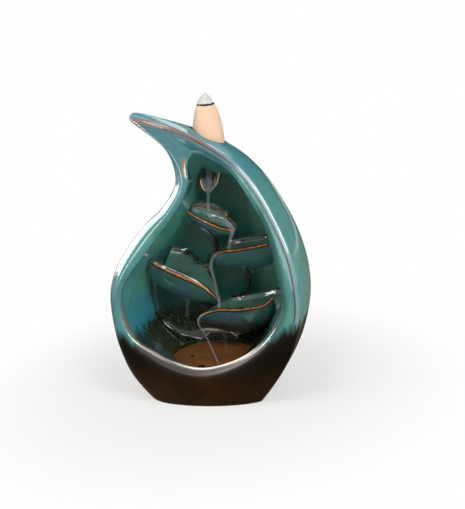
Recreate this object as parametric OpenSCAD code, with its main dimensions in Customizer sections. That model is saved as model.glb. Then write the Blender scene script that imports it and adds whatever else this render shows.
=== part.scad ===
// Backflow incense burner: a glazed stoneware teardrop with a hooked tip, open at the front.
// Smoke sinks from the cone on top through a hole, a spout and four curled leaves into the basin.
// The frame: millimetres, +Z up, the open front faces -Y, the foot stands on z = 0.

/* [Body] */
// Height of the body, from the foot to the tip of the horn
body_h = 142; // [110:1:200]
// Width that the outline of the front rim is drawn for
body_w = 90; // [75:1:130]
// How far the front rim stands forward of the middle at the sill
front_reach = 24; // [22:0.5:32]
// How far the rim leans back from the sill to the tip
rim_lean = 17; // [12:0.5:20]
// How far the back stands behind the middle
back_reach = 29; // [28:0.5:36]
// How much the side walls swell outside the rim
belly = 3; // [1:0.5:5]
// How far the outline runs on below the foot, which cuts it flat
keel_depth = 16; // [12:1:20]

/* [Niche] */
// Where the back wall of the niche lies at the basin, behind the middle
niche_depth = 24; // [22:0.5:25]
// How far that wall comes forward from the basin to the roof
niche_lean = 20; // [14:0.5:22]
// How far the niche edge is set back from the plane of the rim
edge_set = 1.5; // [0.5:0.5:3]

/* [Basin] */
// Height of the basin floor above the foot
floor_z = 21; // [18:0.5:22]
// Radius of the round unglazed floor
well_r = 20.5; // [16:0.5:21]
// Depth of the round floor below the glazed floor around it
well_depth = 1.5; // [1:0.5:4]
// Place of the middle of the round floor
well_x = 3; // [0:0.5:4]
// Place of the middle of the round floor, behind the middle of the foot
well_y = 0.5; // [0:0.5:2]
// Diameter of the hole for a thick incense stick
stick_hole_d = 3.8; // [2:0.2:5]
// Diameter of the hole for a thin incense stick
thin_hole_d = 2.2; // [1.6:0.2:3]
// Depth of both holes
hole_depth = 10; // [6:0.5:12]
// Place of the hole for a thick stick
stick_x = -0.2; // [-3:0.1:3]
// Place of the hole for a thick stick, behind the middle
stick_y = -12.2; // [-14:0.1:-10]
// How far that hole leans forward, so that its stick passes in front of the neck
stick_lean = 5; // [4:0.5:8]
// Place of the hole for a thin stick
thin_x = -7.6; // [-10:0.1:-6]
// Place of the hole for a thin stick, behind the middle
thin_y = 0.8; // [-3:0.1:5]

/* [Seat] */
// Place of the cone seat, to the right of the middle
seat_x = 9.8; // [8:0.1:12]
// Place of the cone seat, behind the middle
seat_y = 4.5; // [3:0.5:6]
// Radius of the seat recess
seat_r = 8.5; // [8:0.25:9]
// How far the seat lies below the tip of the horn
seat_drop = 21.5; // [20:0.5:24]
// Diameter of the smoke hole from the seat to the niche
smoke_hole_d = 4; // [3:0.25:5]

/* [Leaves] */
// Thickness of the curled leaves
leaf_wall = 2; // [1.6:0.2:3]
// How far the pads behind the leaves stand out of the niche wall
pad_rise = 1.5; // [1:0.25:2.5]
// Radius of those pads
pad_r = 10.5; // [8:0.5:12]

/* [Cone] */
// Height of the incense cone
cone_h = 29.5; // [22:0.5:32]
// Largest radius of the incense cone
cone_r = 7.5; // [6:0.1:8]
// Diameter of the smoke channel in the cone
cone_bore_d = 3; // [2:0.25:4]
// Depth of that channel
cone_bore_depth = 14; // [8:0.5:18]

/* [Hidden] */
glaze = "#3c6e63";
incense = "#f0d4b8";
eps = 0.01;

// The rim line and the edge of the niche, in percent of body_w and body_h, clockwise from the
// tip of the horn. Both have the same number of points, which face each other across the rim.
RIM = [[-26.4, 99.6], [-11.0, 97.4], [2.2, 94.0], [14.4, 89.7], [26.7, 84.0], [36.7, 76.4],
       [44.9, 66.7], [51.1, 57.0], [54.8, 46.5], [55.3, 35.4], [51.2, 22.5], [40.5, 9.5],
       [21.6, -5.6], [0.0, -11.3], [-22.4, -5.6], [-35.8, 8.5], [-42.2, 21.1], [-44.8, 33.0],
       [-44.2, 43.7], [-36.9, 53.2], [-23.3, 64.1], [-10.6, 71.5], [-4.0, 79.6], [-9.1, 90.0]];
EDGE = [[3.9, 88.7], [6.1, 88.9], [9.4, 88.6], [15.3, 86.5], [22.8, 82.7], [31.1, 75.2],
        [38.3, 66.8], [43.2, 57.4], [45.9, 46.5], [47.3, 37.0], [39.2, 27.5], [27.2, 20.6],
        [12.2, 16.6], [-1.1, 15.8], [-13.9, 18.3], [-24.4, 22.3], [-33.3, 27.1], [-38.0, 34.5],
        [-37.6, 43.0], [-31.7, 49.6], [-18.9, 59.2], [-5.6, 69.4], [1.8, 77.5], [1.6, 84.5]];
POCKET = [[7.2, 80.0], [8.9, 80.6], [10.6, 80.6], [13.9, 79.5], [18.9, 77.0], [25.6, 72.0],
          [31.7, 65.1], [36.7, 56.7], [40.0, 46.5], [41.1, 37.3], [35.2, 25.0], [25.0, 16.5],
          [13.5, 14.3], [1.1, 13.8], [-11.1, 14.1], [-21.0, 16.0], [-28.9, 22.0], [-31.7, 32.4],
          [-29.4, 41.5], [-23.9, 48.2], [-13.9, 56.0], [-4.4, 64.1], [1.1, 71.8], [4.2, 77.1]];
BACK = [[0.0, 85.0], [5.0, 86.2], [11.0, 86.2], [17.8, 84.0], [25.0, 79.5], [33.0, 73.0],
        [40.0, 65.5], [45.3, 56.0], [48.5, 46.0], [48.5, 34.5], [42.0, 22.5], [30.5, 12.0],
        [17.0, 3.5], [2.2, 0.7], [-13.3, 3.5], [-26.7, 10.6], [-35.6, 21.1], [-38.5, 32.0],
        [-35.5, 41.0], [-27.5, 48.5], [-16.0, 56.5], [-7.0, 64.5], [-2.0, 73.0], [-2.0, 80.5]];
STATIONS = len(RIM);
well_z = floor_z - well_depth;
seat_z = body_h - seat_drop;
// How far the wall below the sill swells forward, and how far the keel below it is drawn back
front_swell = 6;
keel_tuck = 22;
// How far the top of the horn rises over its crest
horn_rise = 4;
// How much the back is rounded: at its rim, and from its middle to its ends
back_step = 3;
back_round = 10;
// How far the rim and the back's middle bulge, and the radius that softens the niche's edge
rim_crown = 0.5;
back_crown = 0.8;
edge_soft = 0.6;
// How deep the pads are set into the niche wall
pad_root = 3;
// Length of the smoke hole
smoke_run = 12;
// How far the cuts run past the surface that they open
cut_run = 30;

// Heights and depths that the rings of the body share
function rim_y(z) = -front_reach + rim_lean * pow(max(z, 0) / body_h, 2);
function niche_y(z) = niche_depth - niche_lean * pow(max(z, 0) / (0.84 * body_h), 1.6);
function across(p) = [p[0] * body_w / 100, p[1] * body_h / 100];

// The curled leaves and the spout, from the right end or the tip to the other end. Each station
// gives the front lip, the rear lip and the keel below them. A place is in percent: across
// body_w, out of the niche wall by niche_depth, and up body_h.
TOP_LEAF = [[[20.7, 42, 58.5], [20.7, 15, 59.2], [20.3, 29, 56.8]],
            [[14.4, 56, 60.6], [14.7, -3, 63.1], [14.4, 31, 57.7]],
            [[7.8, 60, 63], [7.8, -3, 65.9], [7.8, 33, 59.5]],
            [[1.7, 58, 65.3], [1.1, -3, 66.8], [1.1, 33, 61.7]],
            [[-3.3, 50, 67.2], [-3.3, 0, 66.2], [-3.3, 25, 63.4]]];
RIGHT_LEAF = [[[42.2, 58, 54.9], [42.2, -3, 54.2], [42.2, 33, 46.5]],
              [[33.3, 60, 53.7], [33.3, -3, 53.4], [32.8, 33, 44.1]],
              [[22.2, 60, 52.5], [23.3, -3, 52.8], [22.2, 35, 44.6]],
              [[13.9, 54, 51.7], [15, -2, 51.7], [13.9, 33, 44.2]],
              [[8.2, 46, 49.5], [8.9, 12, 49.6], [8.1, 29, 45.1]]];
LEFT_LEAF = [[[5.8, 46, 33.3], [5.3, 12, 34.9], [4.7, 31, 30.6]],
             [[0.2, 56, 38.4], [2, 0, 41.2], [-1.1, 33, 31.2]],
             [[-10, 65, 43], [-5.6, -3, 47], [-10.7, 35, 33.2]],
             [[-19.4, 67, 46.5], [-11.7, -3, 49.2], [-18.9, 38, 36.1]],
             [[-27.2, 62, 49.4], [-17.8, -3, 50.4], [-26.7, 38, 40.8]]];
LOW_LEAF = [[[39.2, 58, 30.8], [39.8, 12, 30.6], [37.3, 38, 25.5]],
    [[38.8, 75, 34.5], [39.8, -3, 33.4], [35.5, 42, 23.8]],
    [[33.3, 83, 32.4], [32.2, -3, 31.4], [32.2, 44, 22.2]],
    [[21.1, 85, 31.2], [21.1, -3, 30.4], [20.6, 48, 19.7]],
    [[7.8, 79, 30.7], [10, -2, 29.4], [7.2, 46, 21]],
    [[-2.9, 66, 27.6], [-0.5, 14, 27.8], [-2.6, 42, 22.6]],
    [[-4.9, 60, 24.8], [-3.4, 30, 25.4], [-4.4, 44, 22]]];
SPOUT = [[[5.4, 25, 77.5], [16.3, 25, 80.1], [9.9, 27, 73]],
         [[5.8, 12, 78.5], [16.7, 12, 80.6], [10.3, 15, 73]],
         [[6.7, -4, 79.6], [16.9, -4, 81], [11.1, -4, 73.9]]];
// The round pads behind the leaves: place in percent, and the angle of the side that stands out
PADS = [[-3.2, 51.6, -25], [13.2, 38.0, -20], [-10.1, 29.9, 215]];
function in_niche(p) = let (c = across([p[0], p[2]])) [c[0], niche_y(c[1]) - p[1] * niche_depth / 100, c[1]];

// Smooth curve through points, four at a time
function spline(a, b, c, d, u) =
    0.5 * (2 * b + (c - a) * u + (2 * a - 5 * b + 4 * c - d) * u * u
    + (3 * b - a - 3 * c + d) * u * u * u);
function closed_curve(p, steps) = [for (i = [0:len(p) - 1]) for (k = [0:steps - 1])
    let (n = len(p)) spline(p[(i + n - 1) % n], p[i], p[(i + 1) % n], p[(i + 2) % n], k / steps)];
function open_curve(p, steps) = [for (i = [0:len(p) - 2]) for (k = [0:steps - 1])
    spline(p[max(i - 1, 0)], p[i], p[i + 1], p[min(i + 2, len(p) - 1)], k / steps), p[len(p) - 1]];
function mix(a, b, t) = a + (b - a) * t;

// The rings of the body, each a closed loop of STATIONS points
function rim_point(i) = let (p = across(RIM[i]), low = max(0, 0.35 * body_h - p[1]))
    [p[0], rim_y(p[1]) + keel_tuck * pow(low / (0.35 * body_h + keel_depth), 2), p[1]];
function back_point(i) = let (p = across(BACK[i]))
    [p[0], back_reach - back_step - back_round * pow((p[1] - 0.32 * body_h) / (0.56 * body_h), 2), p[1]];
// How much a station belongs to the horn, 1 at its tip
function horn_share(i) = max(0, 1 - min(i, STATIONS - i) / 2.5);
// How much a station belongs to the front wall below the sill
function sill_share(i) = min(1, max(0, (0.14 * body_h - RIM[i][1] * body_h / 100) / (0.14 * body_h + keel_depth)));
// How much of the niche wall at a station is basin floor
function floor_share(i) = let (z = EDGE[i][1] / 100)
    min(1, max(0, (0.28 - z) / 0.11, (z - 0.8) / 0.06));
// Unit vector that points out of the rim line
function rim_normal(i) = let (a = across(RIM[(i + STATIONS - 1) % STATIONS]),
    b = across(RIM[(i + 1) % STATIONS]), t = (b - a) / norm(b - a)) [-t[1], 0, t[0]];
function at_depth(p, y) = [p[0], y, p[2]];

// How far the side wall swells out of the rim line: most to the right, inwards at the waist
function swell(i) = let (n = rim_normal(i)) belly * (0.5 + 0.9 * n[0] - 0.4 * max(0, n[2]) - 2 * max(0, -n[0] * n[2]));
function side_point(i, out, along_horn, y_main, y_horn) =
    let (c = rim_point(i), k = back_point(i), h = horn_share(i))
    let (p = mix(c + out * swell(i) * (1 - h) * rim_normal(i), k, along_horn * h)
        + [0, 0, out * horn_rise * h], t = mix(y_main, y_horn, h))
    at_depth(p, mix(c[1], k[1], t));
function rear_point(i) = let (s = side_point(i, 0.6, 0.5, 0.8, 0.5))
    mix(s, at_depth(back_point(i), s[1]), 0.2 * (1 - horn_share(i)));
function edge_point(i) = let (p = across(EDGE[i])) [p[0], rim_y(p[1]) + edge_set, p[1]];
function front_point(i, t, crown) = let (c = rim_point(i), e = edge_point(i), s = sill_share(i))
    mix(c, e, t) - [0, crown * (1 - s) + 4 * t * (1 - t) * front_swell * s, 0];
function pocket_point(i) = let (p = across(POCKET[i])) [p[0], niche_y(p[1]) - edge_soft, p[1]];
function wall_point(i, t, t_floor, d, d_floor) = let (e = edge_point(i), p = pocket_point(i), f = floor_share(i))
    at_depth(mix(e, p, mix(t, t_floor, f)), mix(e[1], p[1], mix(d, d_floor, f)));
back_pole = [0.04 * body_w, back_reach, 0.4 * body_h];
niche_pole = [0.05 * body_w, niche_y(0.43 * body_h), 0.43 * body_h];

// All rings from the pole of the back, round the rim, to the pole of the niche
function body_rings() = let (n = [0:STATIONS - 1]) [
    [for (i = n) back_pole],
    [for (i = n) at_depth(mix(back_pole, back_point(i), 0.55), back_reach - back_crown)],
    [for (i = n) back_point(i)],
    [for (i = n) rear_point(i)],
    [for (i = n) side_point(i, 1, 0.12, 0.45, 0.15)],
    [for (i = n) side_point(i, 0.4, 0.0, 0.08, 0.04)],
    [for (i = n) rim_point(i)],
    [for (i = n) front_point(i, 0.22, rim_crown)],
    [for (i = n) front_point(i, 0.6, rim_crown)],
    [for (i = n) front_point(i, 0.88, 0.4 * rim_crown)],
    [for (i = n) edge_point(i) + [0, edge_soft, 0]],
    [for (i = n) wall_point(i, 0.03, 0.2, 0.09, 0.07)],
    [for (i = n) wall_point(i, 0.45, 0.8, 0.5, 0.35)],
    [for (i = n) wall_point(i, 0.85, 0.97, 0.85, 0.82)],
    [for (i = n) pocket_point(i)],
    [for (i = n) let (p = mix(pocket_point(i), niche_pole, 0.35)) at_depth(p, niche_y(p[2]))],
    [for (i = n) let (p = mix(pocket_point(i), niche_pole, 0.7)) at_depth(p, niche_y(p[2]))],
    [for (i = n) niche_pole]];

// Points along every station's section, row by row, each row a closed loop
function body_rows() = let (r = [for (ring = body_rings()) closed_curve(ring, 3)], n = len(r[0]))
    let (cols = [for (j = [0:n - 1]) open_curve([for (ring = r) ring[j]], 2)])
    [for (k = [0:len(cols[0]) - 1]) [for (j = [0:n - 1]) cols[j][k]]];

// A closed skin over rows of points; the first and last row are single points
module skin(rows) {
    n = len(rows[0]);
    last = len(rows) - 1;
    inner = [for (k = [1:last - 1]) for (p = rows[k]) p];
    points = concat([rows[0][0]], inner, [rows[last][0]]);
    tip = len(points) - 1;
    polyhedron(points, concat(
        [for (j = [0:n - 1]) [0, 1 + (j + 1) % n, 1 + j]],
        [for (k = [0:last - 3]) for (j = [0:n - 1]) for (half = [0, 1])
            let (a = 1 + k * n + j, b = 1 + k * n + (j + 1) % n)
            half == 0 ? [a, b, a + n] : [b, b + n, a + n]],
        [for (j = [0:n - 1]) let (a = 1 + (last - 2) * n + j, b = 1 + (last - 2) * n + (j + 1) % n)
            [a, b, tip]]));
}

// A curled sheet between two lips and a keel. Each station is [front lip, rear lip, keel].
// A section runs down the outside from lip to lip and comes back up the inside.
ARC = 8;
function half_ring(f, r, k, wall, up) = let (m = (f + r) / 2, a = norm(f - m), b = norm(k - m))
    let (ka = 1 - min(wall, 0.45 * a) / a, kb = 1 - min(wall, 0.45 * b) / b)
    [for (q = up ? [ARC:-1:0] : [0:ARC]) let (t = 180 * q / ARC)
        m + (up ? ka : 1) * cos(t) * (f - m) + (up ? kb : 1) * sin(t) * (k - m)];
function leaf_section(f, r, k) = let (o = half_ring(f, r, k, leaf_wall, false),
    i = half_ring(f, r, k, leaf_wall, true), lift = 0.4 * leaf_wall * ((f + r) / 2 - k) / norm((f + r) / 2 - k))
    concat(o, [(o[ARC] + i[0]) / 2 + lift], i, [(i[ARC] + o[0]) / 2 + lift]);

module leaf(stations) {
    n = 2 * ARC + 4;
    curves = [for (c = [0:2]) open_curve([for (st = stations) in_niche(st[c])], 3)];
    last = len(curves[0]) - 1;
    rows = [for (k = [0:last]) leaf_section(curves[0][k], curves[1][k], curves[2][k])];
    cap = concat([for (q = [0:ARC - 1]) for (half = [0, 1]) let (i = 2 * ARC + 2 - q)
        half == 0 ? [q, q + 1, i] : [q + 1, i - 1, i]], [[ARC, ARC + 1, ARC + 2], [0, n - 2, n - 1]]);
    polyhedron([for (r = rows) for (p = r) p], concat(
        [for (k = [0:last - 1]) for (j = [0:n - 1]) for (half = [0, 1])
            let (a = k * n + j, b = k * n + (j + 1) % n)
            half == 0 ? [a, b, a + n] : [b, b + n, a + n]],
        [for (t = cap) [t[0], t[2], t[1]]],
        [for (t = cap) [last * n + t[0], last * n + t[1], last * n + t[2]]]));
}

// A round pad on the back wall of the niche, tilted so that one side stands out of the wall
module pad(x, z, side) {
    c = across([x, z]);
    slope = (niche_y(c[1] - 1) - niche_y(c[1] + 1)) / 2;
    round_over = 0.6 * pad_rise;
    translate([c[0], niche_y(c[1]), c[1]]) rotate([90 + atan(slope), 0, 0])
        rotate([0, 0, side]) rotate([0, -asin(0.9 * pad_rise / pad_r), 0]) rotate_extrude($fn = 60)
            polygon(concat([[0, -pad_root], [pad_r, -pad_root]], [for (a = [0:30:90])
                [pad_r - round_over * (1 - cos(a)), 0.6 * pad_rise - round_over * (1 - sin(a))]],
                [[0, 0.8 * pad_rise]]));
}

module burner_body() color(glaze) {
    difference() {
        union() {
            skin(body_rows());
            leaf(TOP_LEAF);
            leaf(RIGHT_LEAF);
            leaf(LEFT_LEAF);
            leaf(LOW_LEAF);
            leaf(SPOUT);
            for (c = PADS) pad(c[0], c[1], c[2]);
        }
        translate([-body_w, -body_w, -2 * keel_depth]) cube([2 * body_w, 2 * body_w, 2 * keel_depth]);
        translate([well_x, well_y, well_z]) cylinder(r = well_r, h = well_depth + belly, $fn = 96);
        translate([thin_x, thin_y, well_z - hole_depth]) cylinder(d = thin_hole_d, h = 2 * hole_depth, $fn = 24);
        translate([stick_x, stick_y, well_z]) rotate([stick_lean, 0, 0])
            translate([0, 0, -hole_depth]) cylinder(d = stick_hole_d, h = 1.5 * hole_depth, $fn = 32);
        translate([seat_x, seat_y, seat_z]) cylinder(r = seat_r, h = cut_run, $fn = 64);
        translate([seat_x, seat_y, seat_z - smoke_run]) cylinder(d = smoke_hole_d, h = smoke_run + eps, $fn = 32);
    }
}

module incense_cone() color(incense)
    translate([seat_x, seat_y, seat_z]) difference() {
        rotate_extrude($fn = 40) polygon(concat([[0, 0]], [for (k = [0:11])
            let (u = k < 11 ? sin(90 * k / 11) : 1) [cone_r * (0.94 + 0.42 * u - 0.9 * u * u) * sqrt(1 - pow(u, 6)), cone_h * u]]));
        translate([0, 0, -eps]) cylinder(d = cone_bore_d, h = cone_bore_depth, $fn = 24);
    }

burner_body();
incense_cone();
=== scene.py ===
"""Backflow incense burner: a glazed teardrop, open at the front, with a cone on top and curled leaves inside

All sizes are in metres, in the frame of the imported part: +Z up, the open front faces -Y, the foot on z = 0.
"""

import math
from types import SimpleNamespace

import bpy
import numpy as np
from mathutils import Matrix, Vector
from mathutils.bvhtree import BVHTree
from mathutils.kdtree import KDTree


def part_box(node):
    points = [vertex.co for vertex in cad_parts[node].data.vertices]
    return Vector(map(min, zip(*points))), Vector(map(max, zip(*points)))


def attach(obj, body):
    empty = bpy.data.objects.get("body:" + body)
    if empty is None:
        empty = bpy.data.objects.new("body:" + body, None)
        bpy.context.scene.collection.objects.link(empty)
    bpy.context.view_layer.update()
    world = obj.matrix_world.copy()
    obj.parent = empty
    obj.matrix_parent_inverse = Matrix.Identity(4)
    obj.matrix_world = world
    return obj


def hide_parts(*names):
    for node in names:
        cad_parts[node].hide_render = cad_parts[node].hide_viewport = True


bl_info = {
    "name": "Backflow incense burner",
    "version": (1, 0, 0),
    "blender": (4, 5, 0),
    "location": "View3D > Sidebar > Burner",
    "description": "Glazed stoneware burner whose smoke falls over curled leaves into a basin",
    "category": "Add Mesh",
}

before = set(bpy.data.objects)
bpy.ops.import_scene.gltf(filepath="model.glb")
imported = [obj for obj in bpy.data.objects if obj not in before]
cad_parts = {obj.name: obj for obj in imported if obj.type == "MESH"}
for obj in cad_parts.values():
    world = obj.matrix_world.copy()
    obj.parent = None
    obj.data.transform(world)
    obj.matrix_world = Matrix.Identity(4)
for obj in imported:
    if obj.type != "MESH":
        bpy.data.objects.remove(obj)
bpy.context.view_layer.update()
CONE_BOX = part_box("incense_cone")

# The rim line, the niche edge, the foot of the niche wall and the back, in percent of the body's width and
# height, clockwise from the tip of the horn. Point i of one list faces point i of the others.
RIM = [(-26.4, 99.6), (-11.0, 97.4), (2.2, 94.0), (14.4, 89.7), (26.7, 84.0), (36.7, 76.4),
       (44.9, 66.7), (51.1, 57.0), (54.8, 46.5), (55.3, 35.4), (51.2, 22.5), (40.5, 9.5),
       (21.6, -5.6), (0.0, -11.3), (-22.4, -5.6), (-35.8, 8.5), (-42.2, 21.1), (-44.8, 33.0),
       (-44.2, 43.7), (-36.9, 53.2), (-23.3, 64.1), (-10.6, 71.5), (-4.0, 79.6), (-9.1, 90.0)]
EDGE = [(3.9, 88.7), (6.1, 88.9), (9.4, 88.6), (15.3, 86.5), (22.8, 82.7), (31.1, 75.2),
        (38.3, 66.8), (43.2, 57.4), (45.9, 46.5), (47.3, 37.0), (39.2, 27.5), (27.2, 20.6),
        (12.2, 16.6), (-1.1, 15.8), (-13.9, 18.3), (-24.4, 22.3), (-33.3, 27.1), (-38.0, 34.5),
        (-37.6, 43.0), (-31.7, 49.6), (-18.9, 59.2), (-5.6, 69.4), (1.8, 77.5), (1.6, 84.5)]
POCKET = [(7.2, 80.0), (8.9, 80.6), (10.6, 80.6), (13.9, 79.5), (18.9, 77.0), (25.6, 72.0),
          (31.7, 65.1), (36.7, 56.7), (40.0, 46.5), (41.1, 37.3), (35.2, 25.0), (25.0, 16.5),
          (13.5, 14.3), (1.1, 13.8), (-11.1, 14.1), (-21.0, 16.0), (-28.9, 22.0), (-31.7, 32.4),
          (-29.4, 41.5), (-23.9, 48.2), (-13.9, 56.0), (-4.4, 64.1), (1.1, 71.8), (4.2, 77.1)]
BACK = [(0.0, 85.0), (5.0, 86.2), (11.0, 86.2), (17.8, 84.0), (25.0, 79.5), (33.0, 73.0),
        (40.0, 65.5), (45.3, 56.0), (48.5, 46.0), (48.5, 34.5), (42.0, 22.5), (30.5, 12.0),
        (17.0, 3.5), (2.2, 0.7), (-13.3, 3.5), (-26.7, 10.6), (-35.6, 21.1), (-38.5, 32.0),
        (-35.5, 41.0), (-27.5, 48.5), (-16.0, 56.5), (-7.0, 64.5), (-2.0, 73.0), (-2.0, 80.5)]
# Stations of the curled sheets: front lip, rear lip and keel, each in percent across the width, out of the
# niche wall by its depth, and up the height.
LEAVES = {
    "top": [((20.7, 42, 58.5), (20.7, 15, 59.2), (20.3, 29, 56.8)),
            ((14.4, 56, 60.6), (14.7, -3, 63.1), (14.4, 31, 57.7)),
            ((7.8, 60, 63), (7.8, -3, 65.9), (7.8, 33, 59.5)),
            ((1.7, 58, 65.3), (1.1, -3, 66.8), (1.1, 33, 61.7)),
            ((-3.3, 50, 67.2), (-3.3, 0, 66.2), (-3.3, 25, 63.4))],
    "right": [((42.2, 58, 54.9), (42.2, -3, 54.2), (42.2, 33, 46.5)),
              ((33.3, 60, 53.7), (33.3, -3, 53.4), (32.8, 33, 44.1)),
              ((22.2, 60, 52.5), (23.3, -3, 52.8), (22.2, 35, 44.6)),
              ((13.9, 54, 51.7), (15, -2, 51.7), (13.9, 33, 44.2)),
              ((8.2, 46, 49.5), (8.9, 12, 49.6), (8.1, 29, 45.1))],
    "left": [((5.8, 46, 33.3), (5.3, 12, 34.9), (4.7, 31, 30.6)),
             ((0.2, 56, 38.4), (2, 0, 41.2), (-1.1, 33, 31.2)),
             ((-10, 65, 43), (-5.6, -3, 47), (-10.7, 35, 33.2)),
             ((-19.4, 67, 46.5), (-11.7, -3, 49.2), (-18.9, 38, 36.1)),
             ((-27.2, 62, 49.4), (-17.8, -3, 50.4), (-26.7, 38, 40.8))],
    "lowest": [((39.2, 58, 30.8), (39.8, 12, 30.6), (37.3, 38, 25.5)),
               ((38.8, 75, 34.5), (39.8, -3, 33.4), (35.5, 42, 23.8)),
               ((33.3, 83, 32.4), (32.2, -3, 31.4), (32.2, 44, 22.2)),
               ((21.1, 85, 31.2), (21.1, -3, 30.4), (20.6, 48, 19.7)),
               ((7.8, 79, 30.7), (10, -2, 29.4), (7.2, 46, 21)),
               ((-2.9, 66, 27.6), (-0.5, 14, 27.8), (-2.6, 42, 22.6)),
               ((-4.9, 60, 24.8), (-3.4, 30, 25.4), (-4.4, 44, 22))],
    "spout": [((5.4, 25, 77.5), (16.3, 25, 80.1), (9.9, 27, 73)),
              ((5.8, 12, 78.5), (16.7, 12, 80.6), (10.3, 15, 73)),
              ((6.7, -4, 79.6), (16.9, -4, 81), (11.1, -4, 73.9))],
}
# Round pads behind the leaves: place in percent, and the angle of the side that stands out of the wall
PADS = [(-3.2, 51.6, -25), (13.2, 38.0, -20), (3.5, 34.0, 215)]
# Middle and height of the seat that the cone stands in, and the cone's height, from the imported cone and
# rounded to a hundredth of a millimetre
SEAT = tuple(round((CONE_BOX[0][axis] + CONE_BOX[1][axis]) / 2, 5) for axis in (0, 1))
SEAT_HEIGHT = round(CONE_BOX[0][2], 5)
CONE_HEIGHT = round(CONE_BOX[1][2] - CONE_BOX[0][2], 5)
SEAT_RADIUS = 0.0085
SMOKE_HOLE_RADIUS = 0.002
SMOKE_HOLE_DEPTH = 0.012
# The channel that the smoke leaves the cone by
CONE_CHANNEL = {"radius": 0.0015, "height": 0.014}
# The round bare floor of the basin
WELL_MIDDLE = (0.003, 0.0005)
WELL_DEPTH = 0.0045
# Holes in it that hold a stick, the larger one leaning forward; the clay inside them near the mouth is
# painted near black as painted shade
STICK_HOLE_DEPTH = 0.01
STICK_HOLES = [
    {"middle": (-0.0002, -0.0122), "radius": 0.0019, "top": 0.005, "lean": 5, "sides": 40,
     "mouth": (0, -0.0122), "shade_radius": 0.0024},
    {"middle": (-0.0076, 0.0008), "radius": 0.0011, "top": 0.01, "lean": 0, "sides": 32,
     "mouth": (-0.0076, 0.0008), "shade_radius": 0.0014},
]
# The pads' rounded edge stands this high over the niche wall, and their raised side this much higher
PAD_RISE = 0.0009
PAD_TILT = 0.00135
# A short streak of thin glaze on the neck, left of the niche
NECK = np.array([(0.0008, -0.0102, 0.1220), (0.0007, -0.0107, 0.1200), (0.0006, -0.0114, 0.1176),
                 (0.0003, -0.0121, 0.1156)])
# Points of the skin from one place of an outline to the next, and rows of it from one ring to the next
ALONG = 12
ACROSS = 8
# Numbers of three of the skin's rings: the rim, the first one of the front and the niche edge
RIM_RING, FRONT_RING, EDGE_RING = 6, 7, 10
# The photograph: its size and the pixel at which the object's origin is seen, pixels to a metre there, where
# it was taken from, in degrees and metres, and the width of the camera's sensor in millimetres
PICTURE = (465, 509)
ORIGIN_PIXEL = (210.5, 392.6)
PIXELS_TO_METRE = 2000
VIEW = {"azimuth": 12, "elevation": 18, "roll": 5, "away": 0.6}
SENSOR = 36
# Middle of the object, which lamps and cards face, and the distance of the softboxes from it
TARGET = Vector((0, 0, 0.07))
SOFTBOX_AWAY = 0.9
WHITE = (1, 1, 1, 1)

# Strands of smoke from the smoke hole down to the basin: place and radius, in millimetres
SMOKE = [
    [(8.5, 3, 118.6, 1.0), (8.6, 2, 115.5, 1.3), (9, 1, 111.8, 1.6), (9, 0.3, 108.1, 1.6),
     (8.5, 0, 104.8, 1.2), (8.2, 0, 101.9, 0.8), (7.5, 1, 97.2, 0.8), (7.3, 2, 92.9, 0.9),
     (8.3, 3, 90.1, 1.2), (11.1, 3, 89, 1.3), (14.7, 2, 88.2, 1.3), (17.1, 1, 86.5, 1.3),
     (18, 0.5, 84.1, 1.2), (16.8, 1.5, 80.3, 0.9), (15.6, 3, 76.8, 0.8), (14.5, 5, 73.2, 0.9),
     (12.7, 7, 71, 1.0)],
    [(6.3, 0.5, 110.1, 0.9), (6.8, 0.3, 107.7, 1.1), (7.6, 0.1, 105.3, 1.0), (8.2, 0, 103.3, 0.7)],
    [(12.6, 0.5, 110.4, 0.9), (11.6, 0.3, 107.5, 1.1), (10, 0.1, 105.2, 1.0), (8.6, 0, 103.3, 0.7)],
    [(10.5, 6, 71.9, 0.9), (8.7, 4, 71.6, 0.9), (7, 3, 70.2, 0.8), (6, 3, 67.9, 0.8), (5.4, 4, 64, 0.8),
     (6, 5, 58.8, 0.75), (6.6, 6, 52.3, 0.75), (7.1, 6.5, 48.5, 0.8), (7, 7, 45.1, 0.9), (6.5, 8, 42.1, 1.0)],
    [(4.4, 1.5, 43.1, 0.5), (1.1, 2, 42, 0.5), (-1.6, 3.5, 40, 0.6), (-3.6, 5, 37.6, 0.6),
     (-4.1, 5.5, 35.5, 0.6), (-3.4, 5, 33.5, 0.55), (-0.8, 2.5, 31.1, 0.5), (2.9, -2.5, 26.3, 0.45),
     (8, -10.1, 19.7, 0.4)],
]


def linear(code):
    """A colour written as sRGB hex, turned to the linear values that shaders take"""
    c = np.array([int(code[i:i + 2], 16) / 255 for i in (1, 3, 5)])
    return tuple(float(v) for v in np.where(c <= 0.04045, c / 12.92, ((c + 0.055) / 1.055) ** 2.4)) + (1.0,)


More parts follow.
